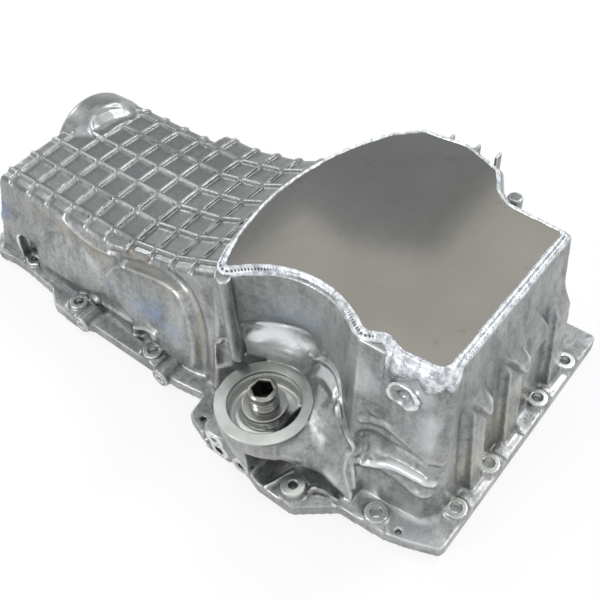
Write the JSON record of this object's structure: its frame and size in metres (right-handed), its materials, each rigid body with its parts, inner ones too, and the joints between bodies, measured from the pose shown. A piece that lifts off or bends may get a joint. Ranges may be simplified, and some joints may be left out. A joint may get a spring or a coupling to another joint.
{
  "type": "engine oil pan",
  "caption": "Die-cast aluminium engine oil pan with a grid-ribbed shallow section, a deep sump closed by a welded sheet plate, a flat gasket rail and a side pad for a spin-on oil filter.",
  "frame": {"origin": "middle of the bottom of the bounding box, on the plane of the gasket face that the pan stands on", "axes": "+X along the engine towards its rear end, +Y across the engine away from the oil filter side, +Z from the gasket face up to the sump plate (the pan stands upside down)"},
  "size_m": [0.514, 0.282, 0.151],
  "materials": {
    "cast_aluminium": "bright rough die-cast skin",
    "sheet_aluminium": "satin mill-finish sheet",
    "weld_aluminium": "rippled bright weld",
    "machined_steel": "turned",
    "plug_steel": "zinc plated"
  },
  "bodies": {
    "root": {"pan_casting": "cast_aluminium", "sump_plate": "sheet_aluminium", "weld_bead": "weld_aluminium", "filter_nipple": "machined_steel", "gallery_plug": "plug_steel"}
  },
  "joints": []
}
